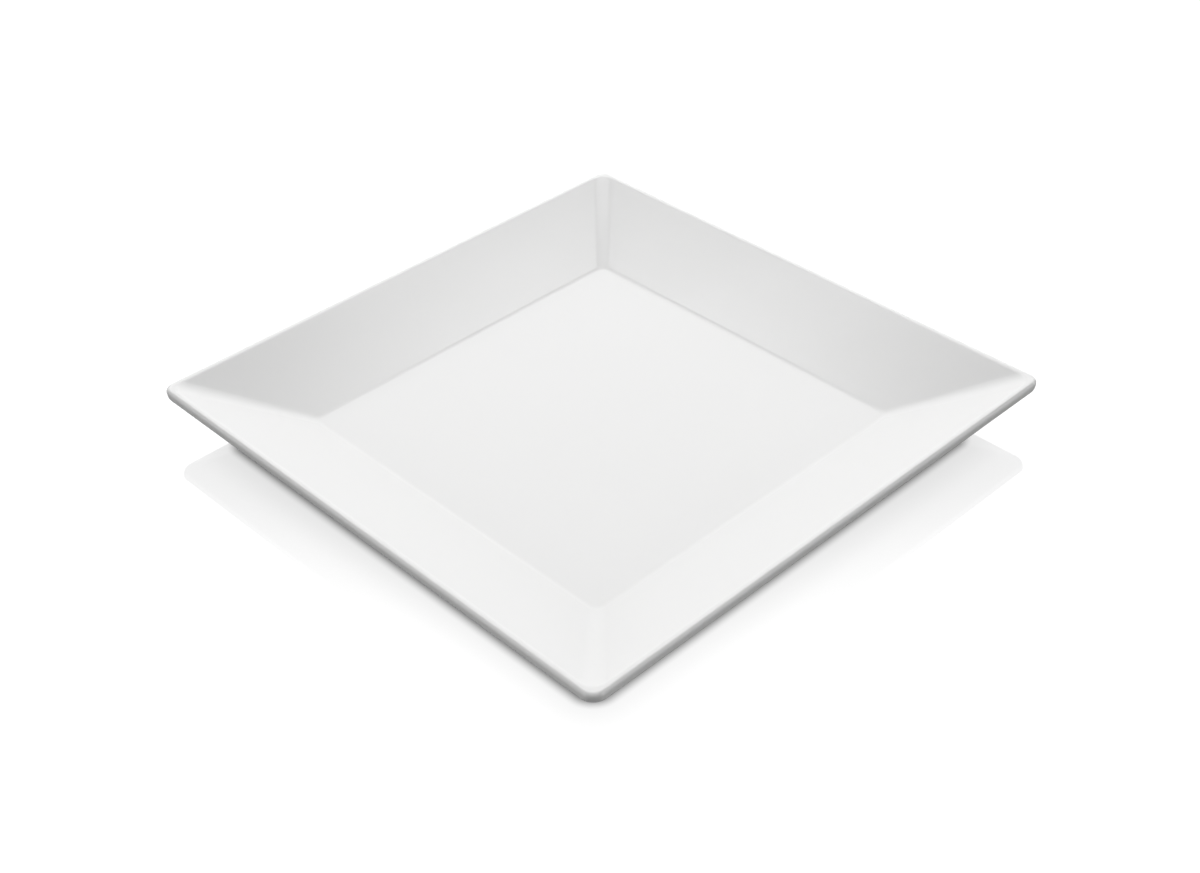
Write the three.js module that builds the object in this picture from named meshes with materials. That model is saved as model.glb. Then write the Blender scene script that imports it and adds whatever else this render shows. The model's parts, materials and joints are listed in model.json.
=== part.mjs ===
// A square serving plate of glazed white porcelain. A flat square well is ringed by four flat rim
// panels that rise to a rounded lip and meet in soft mitres, and the plate stands on a low square
// foot ring. The fired clay body carries its glaze as two coats: one from the foot, out under the
// rim, over the lip and down into the well, and one on the underside inside the foot ring. The
// foot itself is wiped clean before firing, so its bearing face and a narrow band above are bare.
// Millimetres, +Z up, with the origin at the middle of the square that the foot stands on.

import * as THREE from "three";

// Plan sizes, measured over the glaze
const plateSide = 300; // across the lip
const wellSide = 198.2; // across the well, from crease to crease
const rootStepOut = 1.6; // from the well's crease out to where the underside turns up
const footStepIn = 7; // from that turn in to the foot's outer wall
const footWidth = 4.6; // across the foot ring, at its bearing face

// Heights
const footHeight = 2.2; // bearing face to the underside
const baseThickness = 4.8; // underside to the floor of the well
const wellDepth = 20.5; // floor of the well to the top of the lip
const lipThickness = 4.9; // top of the lip to the rim's lower edge

// Corner radii in plan
const lipCornerRadius = 4.8;
const lipUnderCornerRadius = 7.2; // along the rim's lower edge
const mitreTopRadius = 7.5; // where the rim rolls into the lip
const wellCornerRadius = 5.2;
const rootCornerRadius = 6;
const footCornerRadius = 9;

// Radii of the profile
const creaseRadius = 8; // in the crease between the well and the rim
const lipInnerRadius = 5; // where the rim rolls level at the top of the lip
const lipOuterRadius = 2.2; // from the top of the lip down to its upright side
const lipUnderRadius = 1.6; // from the upright side into the rim's lower face
const rootRadius = 12; // where the underside turns up into the rim
const footRootRadius = 1; // where the foot's walls meet the underside
const footEdgeRadius = 0.4; // sponged edges of the bearing face

// Foot and glaze
const footDraft = THREE.MathUtils.degToRad(15); // slope of the foot's walls from upright
const glazeThickness = 0.3;
const bareBand = 0.7; // height of the unglazed band above the bearing face

// Facets along each rounding
const cornerSteps = 6;
const creaseSteps = 4;
const lipInnerSteps = 4;
const lipOuterSteps = 7;
const lipUnderSteps = 5;
const rootSteps = 4;
const footRootSteps = 4;
const footEdgeSteps = 3;

// Levels and places that follow from the sizes above
const undersideZ = footHeight;
const wellZ = undersideZ + baseThickness;
const lipZ = wellZ + wellDepth;
const quarterTurn = Math.PI / 2;

// Each feature's plan is a rounded square, half its side across, whose roundings stay concentric
function concentric(half, corner) {
  return { half, cornerAt: (otherHalf) => corner + otherHalf - half };
}

const lipPlan = concentric(plateSide / 2, lipCornerRadius);
const lipUnderPlan = concentric(plateSide / 2, lipUnderCornerRadius);
const wellPlan = concentric(wellSide / 2, wellCornerRadius);
const rootPlan = concentric(wellPlan.half + rootStepOut, rootCornerRadius);
const footPlan = concentric(rootPlan.half - footStepIn, footCornerRadius);
const footInnerHalf = footPlan.half - footWidth;

// The rim's upper face runs from the crease up to the lip's inner roll, which it meets on a tangent.
// The roll keeps one corner radius, so the mitres flare towards the top and end in a level patch.
const lipTopHalf = lipPlan.half - lipOuterRadius;
const rollPlan = { cornerAt: () => mitreTopRadius };
const rollCentre = new THREE.Vector2(lipTopHalf, lipZ - lipInnerRadius);
const creaseToRoll = rollCentre.clone().sub(new THREE.Vector2(wellPlan.half, wellZ));
const rimSlope = creaseToRoll.angle() + Math.asin(lipInnerRadius / creaseToRoll.length());

// The rim's lower face runs from the underside's turn up to the lower edge of the lip
const lipLowZ = lipZ - lipThickness;
const underSlope = Math.atan2(lipLowZ - undersideZ, lipPlan.half - rootPlan.half);

// One station of a skin: a rounded square at its height, with the way that the profile faces there
function station(plan, half, z, facing) {
  return { half, z, facing, corner: plan.cornerAt(half) };
}

// Stations along an arc of the profile, whose centre lies in the clay, or in the air if it is hollow
function arc(plan, { half, z, radius, from, to, steps, hollow = false }) {
  return Array.from({ length: steps + 1 }, (_, step) => {
    const angle = THREE.MathUtils.lerp(from, to, step / steps);
    const spoke = new THREE.Vector2(Math.cos(angle), Math.sin(angle));
    const facing = spoke.clone().multiplyScalar(hollow ? -1 : 1);
    return station(plan, half + radius * spoke.x, z + radius * spoke.y, facing);
  });
}

// The same station on the clay, one thickness of glaze below the surface
function beneathGlaze({ half, z, facing, corner }) {
  const inward = glazeThickness * facing.x;
  return { half: half - inward, z: z - glazeThickness * facing.y, facing, corner: corner - inward };
}

// Distance from a corner of the profile to where a fillet that turns by an angle leaves each side
function tangentLength(radius, turn) {
  return radius * Math.tan(turn / 2);
}

// Points of a station's rounded square, anticlockwise from above
function outline({ half, z, corner }) {
  const centre = half - corner;
  const points = [];
  for (let side = 0; side < 4; side++) {
    for (let step = 0; step <= cornerSteps; step++) {
      const angle = quarterTurn * (step / cornerSteps);
      const point = new THREE.Vector2(centre + corner * Math.cos(angle), centre + corner * Math.sin(angle));
      point.rotateAround(new THREE.Vector2(), side * quarterTurn);
      points.push(new THREE.Vector3(point.x, point.y, z));
    }
  }
  return points;
}

// Triangles of the skin through a run of stations. A run that goes outwards faces up.
function skin(stations) {
  const rings = stations.map(outline);
  const triangles = [];
  rings.slice(1).forEach((ring, index) => {
    const before = rings[index];
    ring.forEach((point, i) => {
      const next = (i + 1) % ring.length;
      triangles.push(before[i], point, ring[next]);
      triangles.push(before[i], ring[next], before[next]);
    });
  });
  return triangles;
}

// The flat face that fills a station's rounded square, facing up
function flat(fill) {
  const middle = new THREE.Vector3(0, 0, fill.z);
  const ring = outline(fill);
  return ring.flatMap((point, i) => [middle, point, ring[(i + 1) % ring.length]]);
}

// The same triangles facing the other way
function reversed(triangles) {
  return [...triangles].reverse();
}

function solid(name, material, ...skins) {
  const geometry = new THREE.BufferGeometry().setFromPoints(skins.flat());
  geometry.computeVertexNormals();
  const mesh = new THREE.Mesh(geometry, material);
  mesh.name = name;
  return mesh;
}

// Crease between the well's floor and the rim, filled to a soft hollow
function creaseStations() {
  return arc(wellPlan, {
    half: wellPlan.half - tangentLength(creaseRadius, rimSlope),
    z: wellZ + creaseRadius,
    radius: creaseRadius,
    from: -quarterTurn,
    to: rimSlope - quarterTurn,
    steps: creaseSteps,
    hollow: true,
  });
}

// The lip: a soft roll to the top, a tighter one to the upright side, and a third into the rim's
// lower face. The first two meet at the top, so the second starts one step on.
function lipStations() {
  const inner = arc(rollPlan, {
    half: rollCentre.x,
    z: rollCentre.y,
    radius: lipInnerRadius,
    from: quarterTurn + rimSlope,
    to: quarterTurn,
    steps: lipInnerSteps,
  });
  const outer = arc(lipPlan, {
    half: lipTopHalf,
    z: lipZ - lipOuterRadius,
    radius: lipOuterRadius,
    from: quarterTurn,
    to: 0,
    steps: lipOuterSteps,
  });
  const under = arc(lipUnderPlan, {
    half: lipPlan.half - lipUnderRadius,
    z: lipLowZ + tangentLength(lipUnderRadius, quarterTurn - underSlope),
    radius: lipUnderRadius,
    from: 0,
    to: underSlope - quarterTurn,
    steps: lipUnderSteps,
  });
  return [...inner, ...outer.slice(1), ...under];
}

// The turn of the underside, from the rim's lower face to the level bottom
function rootStations() {
  return arc(rootPlan, {
    half: rootPlan.half - tangentLength(rootRadius, underSlope),
    z: undersideZ + rootRadius,
    radius: rootRadius,
    from: underSlope - quarterTurn,
    to: -quarterTurn,
    steps: rootSteps,
  });
}

// A wall of the foot, from its root on the underside down to the edge of its glaze.
// The outer wall leans out as it rises, and the inner wall leans in.
function footWallStations(wallHalf, lean) {
  const rise = (height) => wallHalf + lean * height * Math.tan(footDraft);
  const rootFillet = arc(footPlan, {
    half: rise(undersideZ) + lean * tangentLength(footRootRadius, quarterTurn - footDraft),
    z: undersideZ - footRootRadius,
    radius: footRootRadius,
    from: quarterTurn,
    to: quarterTurn + lean * (quarterTurn - footDraft),
    steps: footRootSteps,
    hollow: true,
  });
  const wallFacing = new THREE.Vector2(lean * Math.cos(footDraft), -Math.sin(footDraft));
  return [...rootFillet, station(footPlan, rise(bareBand), bareBand, wallFacing)];
}

// A sponged edge of the bare bearing face, from the foot's wall to the face.
// The bare wall stands one thickness of glaze behind the glazed wall above it.
function footEdgeStations(wallHalf, lean) {
  const bareHalf = wallHalf - lean * (glazeThickness / Math.cos(footDraft));
  const edge = arc(footPlan, {
    half: bareHalf - lean * tangentLength(footEdgeRadius, quarterTurn - footDraft),
    z: footEdgeRadius,
    radius: footEdgeRadius,
    from: lean * (quarterTurn - footDraft) - quarterTurn,
    to: -quarterTurn,
    steps: footEdgeSteps,
  });
  return edge;
}

// The two glazed surfaces, each from its middle outwards or inwards along the profile
const upperSurface = [
  ...creaseStations(),
  ...lipStations(),
  ...rootStations(),
  ...footWallStations(footPlan.half, 1),
];
const recessSurface = footWallStations(footInnerHalf, -1);
recessSurface.reverse();

// The clay under them, and the bare foot between
const upperClay = upperSurface.map(beneathGlaze);
const recessClay = recessSurface.map(beneathGlaze);
const bareFoot = [
  upperClay.at(-1),
  ...footEdgeStations(footPlan.half, 1),
  ...footEdgeStations(footInnerHalf, -1).reverse(),
  recessClay[0],
];

const bareClay = new THREE.MeshStandardMaterial({ color: 0xe6e1d6, roughness: 0.85, metalness: 0 });
const glossGlaze = new THREE.MeshStandardMaterial({ color: 0xf4f4f3, roughness: 0.12, metalness: 0 });

const porcelainBody = solid(
  "porcelain_body",
  bareClay,
  flat(upperClay[0]),
  skin(upperClay),
  skin(bareFoot),
  skin(recessClay),
  reversed(flat(recessClay.at(-1))),
);

const upperGlaze = solid(
  "upper_glaze",
  glossGlaze,
  flat(upperSurface[0]),
  skin(upperSurface),
  skin([upperSurface.at(-1), upperClay.at(-1)]),
  reversed(skin(upperClay)),
  reversed(flat(upperClay[0])),
);

const recessGlaze = solid(
  "recess_glaze",
  glossGlaze,
  flat(recessClay.at(-1)),
  reversed(skin(recessClay)),
  skin([recessClay[0], recessSurface[0]]),
  skin(recessSurface),
  reversed(flat(recessSurface.at(-1))),
);

const servingPlate = new THREE.Group();
servingPlate.name = "serving_plate";
servingPlate.add(porcelainBody, upperGlaze, recessGlaze);

export default servingPlate;
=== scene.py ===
"""The looks of a square serving plate of glazed white porcelain. Metres, +Z up, in the CAD frame."""
import json
import math
from collections import namedtuple

import bmesh
import bpy
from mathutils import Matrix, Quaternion, Vector


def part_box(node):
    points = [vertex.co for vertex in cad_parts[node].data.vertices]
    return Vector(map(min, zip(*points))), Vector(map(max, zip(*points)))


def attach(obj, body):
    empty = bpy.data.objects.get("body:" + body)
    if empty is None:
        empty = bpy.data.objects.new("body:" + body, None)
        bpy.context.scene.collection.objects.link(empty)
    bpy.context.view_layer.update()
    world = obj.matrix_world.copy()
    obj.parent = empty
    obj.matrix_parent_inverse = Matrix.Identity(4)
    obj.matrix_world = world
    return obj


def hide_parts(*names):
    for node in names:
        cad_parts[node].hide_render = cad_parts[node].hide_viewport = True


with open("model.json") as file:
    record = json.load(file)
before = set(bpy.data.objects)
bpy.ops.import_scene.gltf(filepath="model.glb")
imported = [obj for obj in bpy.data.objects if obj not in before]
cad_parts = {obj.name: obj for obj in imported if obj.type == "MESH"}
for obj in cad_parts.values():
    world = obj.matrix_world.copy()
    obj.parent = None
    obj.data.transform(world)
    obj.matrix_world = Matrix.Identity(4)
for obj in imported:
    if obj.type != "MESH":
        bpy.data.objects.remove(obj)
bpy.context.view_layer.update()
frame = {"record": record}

# The body: one piece of white clay, pressed between two dies that give it the flat well, the four rim
# panels with their soft mitres, the lip and the low foot ring. Fired hard, it shows only at the foot,
# which is wiped bare before the glaze firing so that the plate doesn't stick to the kiln shelf.
mounts = {mount["name"]: Vector(mount["pos_m"]) for mount in frame["record"]["mounts"]}
plate_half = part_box("upper_glaze")[1].x
lip_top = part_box("upper_glaze")[1].z
lip_thickness = 0.0049
lip_width = 0.0032
well_floor = mounts["well_floor"].z
well_half = 0.0991
underside = 0.0022
root_half = 0.1007
foot_outer_half = 0.0937
foot_inner_half = 0.0891
foot_corner = 0.009
foot_draft = math.tan(math.radians(15))
glaze_thickness = 0.0003
corner_cuts = 12

# A bend of the pressed profile: a rounded square at one height, and the radius that softens it.
# Sizes are over the glaze, which covers all but the foot's bearing face.
Bend = namedtuple("Bend", "half height corner radius cuts")


def foot_bend(half, height, radius=0.0, cuts=0):
    """A bend of the foot ring, whose corners are all rounded about one centre."""
    return Bend(half, height, foot_corner + half - foot_outer_half, radius, cuts)


upper_bends = [
    Bend(well_half, well_floor, corner=0.0052, radius=0.008, cuts=8),
    Bend(plate_half - lip_width, lip_top, corner=0.0075, radius=0.0045, cuts=8),
    Bend(plate_half, lip_top, corner=0.0048, radius=0.0022, cuts=12),
    Bend(plate_half, lip_top - lip_thickness, corner=0.0072, radius=0.0016, cuts=8),
    Bend(root_half, underside, corner=0.006, radius=0.012, cuts=8),
    foot_bend(foot_outer_half + foot_draft * underside, underside, radius=0.001, cuts=6),
]
foot_bends = [
    foot_bend(foot_outer_half, 0.0, radius=0.0004, cuts=5),
    foot_bend(foot_inner_half, 0.0, radius=0.0004, cuts=5),
]
recess_bends = [
    foot_bend(foot_inner_half - foot_draft * underside, underside, radius=0.001, cuts=6),
]


def profile(bends, closed):
    """Points of the profile through a run of bends, from the plate's middle, and back to it if closed."""
    points = [Vector((0, bends[0].height))]
    points += [Vector((bend.half, bend.height)) for bend in bends]
    if closed:
        points.append(Vector((0, bends[-1].height)))
    return points


def on_ring(bend):
    """A test that a point lies on the rounded square of a bend."""
    touch = 1e-5
    middle = bend.half - bend.corner

    def belongs(point):
        across = math.hypot(max(abs(point.x) - middle, 0), max(abs(point.y) - middle, 0))
        return abs(across - bend.corner) < touch and abs(point.z - bend.height) < touch

    return belongs


def select_rings(piece, *bends):
    """In edit mode, selects the edges that lie along the rounded squares of bends."""
    tests = [on_ring(bend) for bend in bends]
    bpy.ops.mesh.select_all(action="DESELECT")
    mesh = bmesh.from_edit_mesh(piece.data)
    for edge in mesh.edges:
        if any(all(test(vertex.co) for vertex in edge.verts) for test in tests):
            edge.select_set(True)
    bmesh.update_edit_mesh(piece.data)


def add_ring(bend):
    """In edit mode, adds a rounded square of bare edges."""
    bpy.ops.mesh.primitive_plane_add(size=2 * bend.half, location=(0, 0, bend.height))
    bpy.ops.mesh.bevel(offset=bend.corner, segments=corner_cuts, affect="VERTICES")
    bpy.ops.mesh.delete(type="ONLY_FACE")


def pressed(name, bends, closed=False, faces_down=False):
    """A skin with a flat inside its first bend, bridged from bend to bend, and with each bend softened.
    A closed one has a flat inside its last bend too. Rings at one height can't be bridged, so each ring
    is bridged while it is raised, and then let down."""
    lift = 0.1
    bpy.ops.object.select_all(action="DESELECT")
    bpy.ops.mesh.primitive_plane_add(size=2 * bends[0].half)
    skin = bpy.context.object
    skin.name = skin.data.name = name
    bpy.ops.object.mode_set(mode="EDIT")
    bpy.ops.mesh.delete(type="VERT")
    bpy.ops.mesh.select_mode(type="EDGE")
    add_ring(bends[0])
    for bend, bend_before in zip(bends[1:], bends):
        raised = bend._replace(height=bend.height + lift)
        add_ring(raised)
        select_rings(skin, raised, bend_before)
        bpy.ops.mesh.bridge_edge_loops()
        select_rings(skin, raised)
        bpy.ops.transform.translate(value=(0, 0, -lift))
    flat_bends = [bends[0], bends[-1]] if closed else [bends[0]]
    for flat_bend in flat_bends:
        select_rings(skin, flat_bend)
        bpy.ops.mesh.edge_face_add()
    bpy.ops.mesh.select_all(action="SELECT")
    bpy.ops.mesh.normals_make_consistent(inside=faces_down)
    points = profile(bends, closed)
    for bend, before, here, after in zip(bends, points, points[1:], points[2:]):
        turn = (here - before).angle(after - here)
        select_rings(skin, bend)
        bpy.ops.mesh.bevel(offset=bend.radius * math.tan(turn / 2), segments=bend.cuts, affect="EDGES")
    bpy.ops.object.mode_set(mode="OBJECT")
    return skin


def beneath_glaze(bends):
    """The bends of the clay: each side of a closed profile moves in by the glaze, but for the bare one."""
    points = profile(bends, closed=True)
    sides = list(zip(points, points[1:]))
    ways = [(after - before).normalized() for before, after in sides]
    inward = [Vector((way.y, -way.x)) for way in ways]
    depths = [0.0 if before.y == after.y == 0 else glaze_thickness for before, after in sides]
    clay_bends = []
    for bend, first, second, depth, next_depth in zip(bends, inward, inward[1:], depths, depths[1:]):
        turn = first.cross(second)
        move = Vector((
            depth * second.y - next_depth * first.y,
            next_depth * first.x - depth * second.x,
        )) / turn
        clay_bends.append(bend._replace(
            half=bend.half + move.x,
            height=bend.height + move.y,
            corner=bend.corner + move.x,
            radius=bend.radius + math.copysign(min(depth, next_depth), turn),
        ))
    return clay_bends


clay = pressed("clay_body", beneath_glaze(upper_bends + foot_bends + recess_bends), closed=True)


def smooth_off(piece):
    """Smooth shading that keeps the large faces flat, so that reflections in them stay straight."""
    sharp_from = math.radians(40)
    bpy.ops.object.select_all(action="DESELECT")
    piece.select_set(True)
    bpy.context.view_layer.objects.active = piece
    bpy.ops.object.shade_smooth_by_angle(angle=sharp_from)
    bpy.ops.object.modifier_add(type="WEIGHTED_NORMAL")
    piece.modifiers[-1].keep_sharp = True
    bpy.ops.object.modifier_apply(modifier=piece.modifiers[-1].name)


smooth_off(clay)


class Wire:
    """A socket of a tree of nodes. Sums on wires add Math nodes."""

    def __init__(self, tree, socket):
        self.tree = tree
        self.socket = socket

    def node(self, kind, settings=None, inputs=None, output=0):
        """Adds a node of any kind, with its settings and what goes into its sockets."""
        added = self.tree.nodes.new(kind)
        for name, value in (settings or {}).items():
            setattr(added, name, value)
        for name, value in (inputs or {}).items():
            if isinstance(value, Wire):
                self.tree.links.new(value.socket, added.inputs[name])
            else:
                added.inputs[name].default_value = value
        return Wire(self.tree, added.outputs[output])

    def sum(self, operation, first, second=0.0):
        """Adds a Math node on one or two values, which are wires or numbers."""
        return self.node("ShaderNodeMath", {"operation": operation}, {0: first, 1: second})

    def __add__(self, other):
        return self.sum("ADD", self, other)

    def __sub__(self, other):
        return self.sum("SUBTRACT", self, other)

    def __rsub__(self, other):
        return self.sum("SUBTRACT", other, self)

    def __mul__(self, other):
        return self.sum("MULTIPLY", self, other)

    def __abs__(self):
        return self.sum("ABSOLUTE", self)

    __radd__ = __add__
    __rmul__ = __mul__


def finish_of(name):
    """A new material: the material itself, its surface, and a wire of the place on the object."""
    material = bpy.data.materials.new(name)
    material.use_nodes = True
    tree = material.node_tree
    place = tree.nodes.new("ShaderNodeTexCoord").outputs["Object"]
    return material, tree.nodes["Principled BSDF"], Wire(tree, place)


def feed(surface, **wires):
    """Links wires to the sockets of a surface that are named with underscores for spaces."""
    for name, wire in wires.items():
        wire.tree.links.new(wire.socket, surface.inputs[name.replace("_", " ")])


def grain(place, size, detail=2.0):
    """Soft noise from 0 to 1 whose blotches are about a size across."""
    inputs = {"Vector": place, "Scale": 1 / size, "Detail": detail}
    return place.node("ShaderNodeTexNoise", inputs=inputs)


def bumps(heights, strength, depth):
    """A surface direction that follows the heights of a grain, as bumps of a depth."""
    inputs = {"Height": heights, "Strength": strength, "Distance": depth}
    return heights.node("ShaderNodeBump", inputs=inputs)


def between(value, start, end, low=0.0, high=1.0):
    """A soft step of a value, from low at its start to high at its end."""
    inputs = {"Value": value, "From Min": start, "From Max": end, "To Min": low, "To Max": high}
    return value.node("ShaderNodeMapRange", {"interpolation_type": "SMOOTHSTEP"}, inputs)


def tint(share, first, second):
    """A colour between two, by a share. A Mix node's sockets 6 and 7 and its output 2 are its colours."""
    inputs = {"Factor": share, 6: (*first, 1), 7: (*second, 1)}
    return share.node("ShaderNodeMix", {"data_type": "RGBA"}, inputs, output=2)


clay_colour = (0.80, 0.77, 0.71)
sand_colour = (0.66, 0.62, 0.55)
sand_size = 0.0012
sand_depth = 0.00005
speck_size = 0.0007
speck_edge = (0.68, 0.74)
grain_range = (0.3, 0.7)
bare_clay, bare_surface, bare_place = finish_of("bare_clay")
sandy = grain(bare_place, sand_size, detail=4)
specks = between(grain(bare_place, speck_size), *speck_edge)
feed(
    bare_surface,
    Base_Color=tint(specks * 0.5 + sandy * 0.4, clay_colour, sand_colour),
    Roughness=between(sandy, *grain_range, low=0.78, high=0.92),
    Normal=bumps(sandy, strength=0.5, depth=sand_depth),
)
clay.data.materials.append(bare_clay)
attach(clay, "root")
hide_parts("porcelain_body")

# The upper glaze: a coat of clear-white glass, fused to the clay from the foot's outer wall, out under
# the rim, over the lip and across the well. It is sprayed on, runs a little in the kiln, so that it
# pools in the crease and thins over the lip, and ends in a rounded edge above the bare foot.
bare_band = 0.0007
glaze_edge_radius = 0.0001
glaze_edge_cuts = 3


def glaze_coat(name, bends, edge, faces_down=False):
    """A coat of glass over a run of bends, with a rounded edge above the bare foot."""
    coat = pressed(name, bends + [edge], faces_down=faces_down)
    bpy.ops.object.modifier_add(type="SOLIDIFY")
    coat.modifiers[-1].thickness = glaze_thickness
    coat.modifiers[-1].offset = -1
    coat.modifiers[-1].use_even_offset = True
    bpy.ops.object.modifier_apply(modifier=coat.modifiers[-1].name)
    bpy.ops.object.mode_set(mode="EDIT")
    select_rings(coat, edge)
    bpy.ops.mesh.bevel(offset=glaze_edge_radius, segments=glaze_edge_cuts, affect="EDGES")
    bpy.ops.object.mode_set(mode="OBJECT")
    smooth_off(coat)
    return coat


upper_edge = foot_bend(foot_outer_half + foot_draft * bare_band, bare_band)
upper_coat = glaze_coat("upper_coat", upper_bends, upper_edge)


def axes(place):
    """The three coordinates of a place, each as a wire."""
    split = place.node("ShaderNodeSeparateXYZ", inputs={"Vector": place}).socket.node
    return [Wire(place.tree, output) for output in split.outputs]


def square_reach(x, y):
    """How far out a place lies: half the side of the square round the middle that it is on."""
    return x.sum("MAXIMUM", abs(x), abs(y))


glaze_colour = (0.875, 0.875, 0.872)
greyer_colour = (0.845, 0.846, 0.838)
pool_reach = 0.005
inside_clay = (well_floor - 0.003, well_floor - 0.001)
over_lip = (plate_half - 0.0035, plate_half - 0.0005)
cloud_size = 0.05
ripple_size = 0.016
ripple_depth = 0.00003
white_glaze, glaze_surface, glaze_place = finish_of("white_glaze")
glaze_x, glaze_y, height = axes(glaze_place)
glaze_reach = square_reach(glaze_x, glaze_y)
on_top = between(height, *inside_clay)
pooled = (1 - between(abs(glaze_reach - well_half), 0.0, pool_reach)) * on_top
thin = between(glaze_reach, *over_lip)
clouds = grain(glaze_place, cloud_size)
ripple = grain(glaze_place, ripple_size, detail=1.0)
feed(
    glaze_surface,
    Base_Color=tint(pooled * 0.2 + thin * 0.4 + clouds * 0.2, glaze_colour, greyer_colour),
    Roughness=between(clouds, *grain_range, low=0.09, high=0.13) - pooled * 0.02,
    Normal=bumps(ripple, strength=0.2, depth=ripple_depth),
)
glaze_surface.inputs["IOR"].default_value = 1.5
upper_coat.data.materials.append(white_glaze)
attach(upper_coat, "root")
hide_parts("upper_glaze")

# The recess glaze: the same glass on the underside, inside the foot ring, sprayed on and fused in the
# same firing. The bare foot keeps it apart from the upper coat.
recess_edge = foot_bend(foot_inner_half - foot_draft * bare_band, bare_band)
recess_coat = glaze_coat("recess_coat", recess_bends, recess_edge, faces_down=True)
recess_coat.data.materials.append(white_glaze)
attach(recess_coat, "root")
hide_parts("recess_glaze")

# The table: a wide sheet of polished white acrylic. Camera rays see it glow plain white, a glow that
# lights nothing, but for a painted shadow under the plate: a soft dark rounded square, set a little
# towards the front. The glow is painted brighter towards the front, so that the plate's reflection fades
# out there. Other rays see the sheet darker under the plate, a painted shade on the lip's lower edge and
# the rim's underside.
# It shows only from above, and it lights the foot and its recess, so that the plate can be looked at from
# below.
table_size = 8.0
table_drop = 0.0001
# Where the painted shadow under the plate lies, how soft its edge is, and how much of it fades out slowly.
painted_shadow_middle = Vector((0.0058, -0.0074))
painted_shadow_half = 0.1285
painted_shadow_corner = 0.0105
painted_shadow_softness = 0.0043
painted_shadow_fade = 0.022
painted_shadow_sharp_share = 0.88
glow_span = (0.02, 0.24)
glow_behind = 0.81
glow_in_front = 0.99
sheet_shade = 0.12
bounce_in_painted_shade = 0.02
bounce_outside_painted_shade = 0.18
foot_light = 0.6
foot_light_fade = 0.001
black = (0, 0, 0)
white = (1, 1, 1)
bpy.ops.object.select_all(action="DESELECT")
bpy.ops.mesh.primitive_plane_add(size=table_size, location=(0, 0, -table_drop))
table = bpy.context.object
table.name = "table"
pale_sheet, sheet_surface, sheet_place = finish_of("pale_sheet")
sheet_x, sheet_y, _ = axes(sheet_place)
# Painted shadow: a soft dark rounded square under the plate that darkens the glow which camera rays see.
corner_x, corner_y = (
    sheet_x.sum("MAXIMUM", abs(across - middle) - (painted_shadow_half - painted_shadow_corner))
    for across, middle in zip((sheet_x, sheet_y), painted_shadow_middle)
)
painted_shadow_reach = sheet_x.sum("SQRT", corner_x * corner_x + corner_y * corner_y)
painted_shadow_edge = painted_shadow_corner - painted_shadow_softness
outside_painted_shadow = painted_shadow_sharp_share * between(painted_shadow_reach, painted_shadow_edge, painted_shadow_corner + painted_shadow_softness)
outside_painted_shadow += (1 - painted_shadow_sharp_share) * between(painted_shadow_reach, painted_shadow_edge, painted_shadow_corner + painted_shadow_fade)
# Painted: the glow is brighter towards the front, so that the plate's reflection fades out there.
glow = between(sheet_x - sheet_y, *glow_span, low=glow_behind, high=glow_in_front)
sheet_reach = square_reach(sheet_x, sheet_y)
under_foot = 1 - between(sheet_reach, foot_outer_half - foot_light_fade, foot_outer_half)
seen = sheet_place.node("ShaderNodeLightPath", output="Is Camera Ray")
from_below = sheet_place.node("ShaderNodeNewGeometry", output="Backfacing")
# Painted shade: rays other than the camera's see the sheet darker under the plate, which darkens the lip's
# lower edge.
bounce_with_painted_shade = outside_painted_shadow * bounce_outside_painted_shade + bounce_in_painted_shade
feed(
    sheet_surface,
    Base_Color=tint(seen * sheet_shade + (1 - seen) * bounce_with_painted_shade, black, white),
    Emission_Color=tint(seen * glow * outside_painted_shadow + (1 - seen) * under_foot * foot_light, black, white),
    Alpha=1 - from_below,
)
sheet_surface.inputs["Roughness"].default_value = 0.03
sheet_surface.inputs["IOR"].default_value = 1.8
sheet_surface.inputs["Emission Strength"].default_value = 1
table.data.materials.append(pale_sheet)

# The camera stands before the near corner of the plate, looks down on it and is rolled a little. Its
# place and lens were fitted to the plate's rim, crease and mitre lines.
camera_turn = math.radians(46.487)
camera_rise = math.radians(36.975)
camera_roll = math.radians(-1.444)
camera_distance = 0.87346
camera_aside = -0.00015
camera_above = -0.00384
lens = 53.363
towards_camera = Vector((
    math.sin(camera_turn) * math.cos(camera_rise),
    -math.cos(camera_turn) * math.cos(camera_rise),
    math.sin(camera_rise),
))
bpy.ops.object.camera_add()
camera = bpy.context.object
camera.rotation_mode = "QUATERNION"
camera.rotation_quaternion = towards_camera.to_track_quat("Z", "Y") @ Quaternion((0, 0, 1), camera_roll)
camera.location = towards_camera * camera_distance
camera.location += camera.rotation_quaternion @ Vector((camera_aside, camera_above, 0))
camera.data.lens = lens
camera.data.sensor_width = 36
camera.data.clip_start = 0.01
bpy.context.scene.camera = camera

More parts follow.
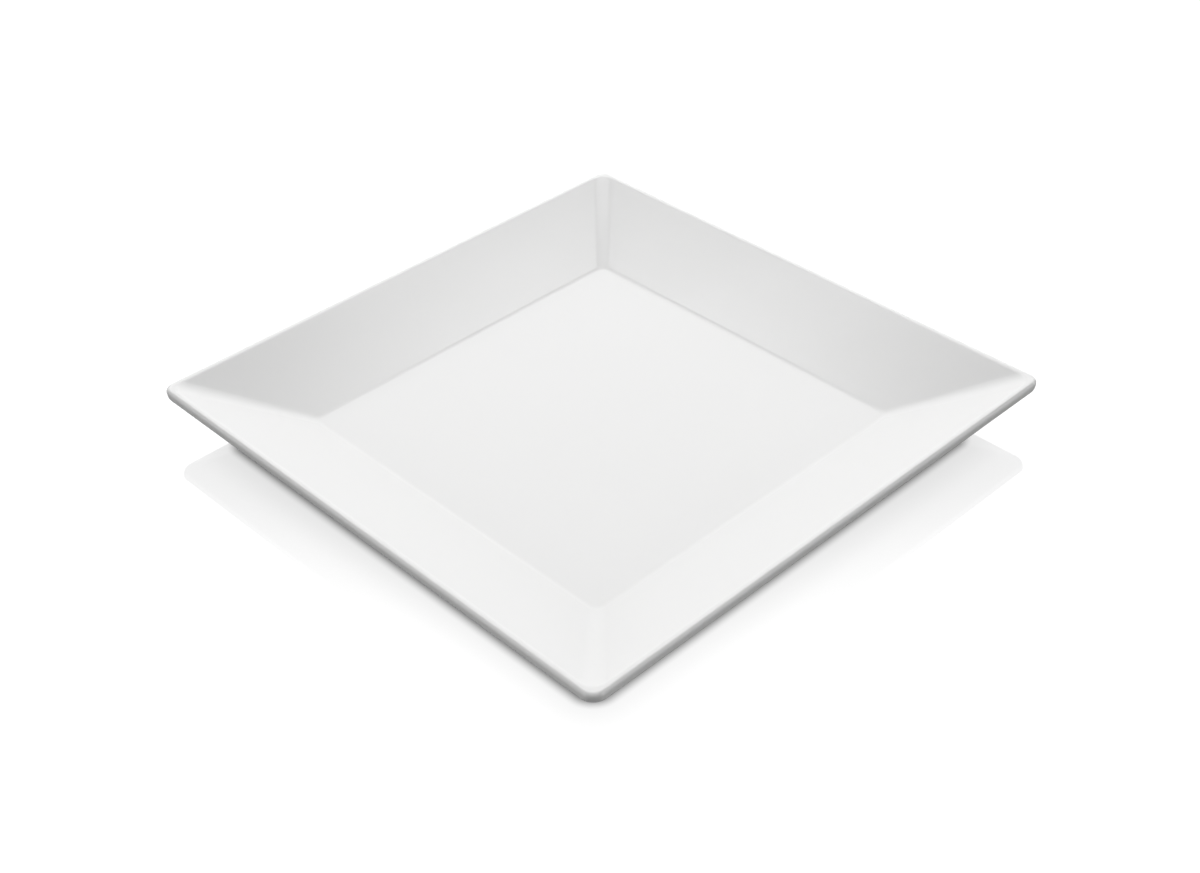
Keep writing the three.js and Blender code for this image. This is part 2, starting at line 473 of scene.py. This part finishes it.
# Studio light: a white backdrop that is lit at its foot and higher up, a pale wall at each side, a soft
# lamp high at the left and at the right, a strip lamp between these two, and a dim white room round
# them all. The camera sees the room as plain white.
room_light = 0.22
room = bpy.data.worlds.new("room")
room.use_nodes = True
bpy.context.scene.world = room
gaze = Wire(room.node_tree, room.node_tree.nodes.new("ShaderNodeTexCoord").outputs["Generated"])


def lamp(strength, turn, rise, wide, high, even=0.0):
    """Light from an oval patch of the room, which has its full strength in an even middle and fades to
    nothing at its edge. It stands left of straight behind the plate by its turn and above the table by
    its rise, and reaches wide and high from there, in degrees. The even part is a share of that reach."""
    side = camera_turn + math.radians(turn)
    above = math.radians(rise)
    middle = Vector((
        -math.sin(side) * math.cos(above),
        math.cos(side) * math.cos(above),
        math.sin(above),
    ))
    level = Vector((math.cos(side), math.sin(side), 0))
    spans = (
        level / math.sin(math.radians(wide)),
        middle.cross(level) / math.sin(math.radians(high)),
        middle,
    )
    aside, aloft, ahead = (
        gaze.node("ShaderNodeVectorMath", {"operation": "DOT_PRODUCT"}, {0: gaze, 1: span}, "Value")
        for span in spans
    )
    away = gaze.sum("SQRT", aside * aside + aloft * aloft)
    return between(away, 1, even, 0, strength) * gaze.sum("GREATER_THAN", ahead)


backdrop = lamp(1.0, turn=0, rise=-6, wide=80, high=50, even=0.25)
backdrop += lamp(2.3, turn=0, rise=38, wide=62, high=34, even=0.15)
walls = lamp(2.4, turn=100, rise=15, wide=40, high=35)
walls += lamp(2.4, turn=-100, rise=15, wide=40, high=35)
left_lamp = lamp(5.0, turn=49, rise=56, wide=12, high=12.5, even=0.2)
right_lamp = lamp(5.5, turn=-49, rise=57, wide=10.5, high=13.8, even=0.2)
top_lamp = lamp(3.1, turn=0, rise=62.8, wide=21, high=5.7, even=0.5)
light = backdrop + walls + left_lamp + right_lamp + top_lamp + room_light
shows_white = gaze.node("ShaderNodeLightPath", output="Is Camera Ray")
feed(room.node_tree.nodes["Background"], Strength=shows_white * (1 - light) + light)
room.node_tree.nodes["Background"].inputs["Color"].default_value = (*white, 1)
bpy.context.scene.view_settings.view_transform = "Standard"
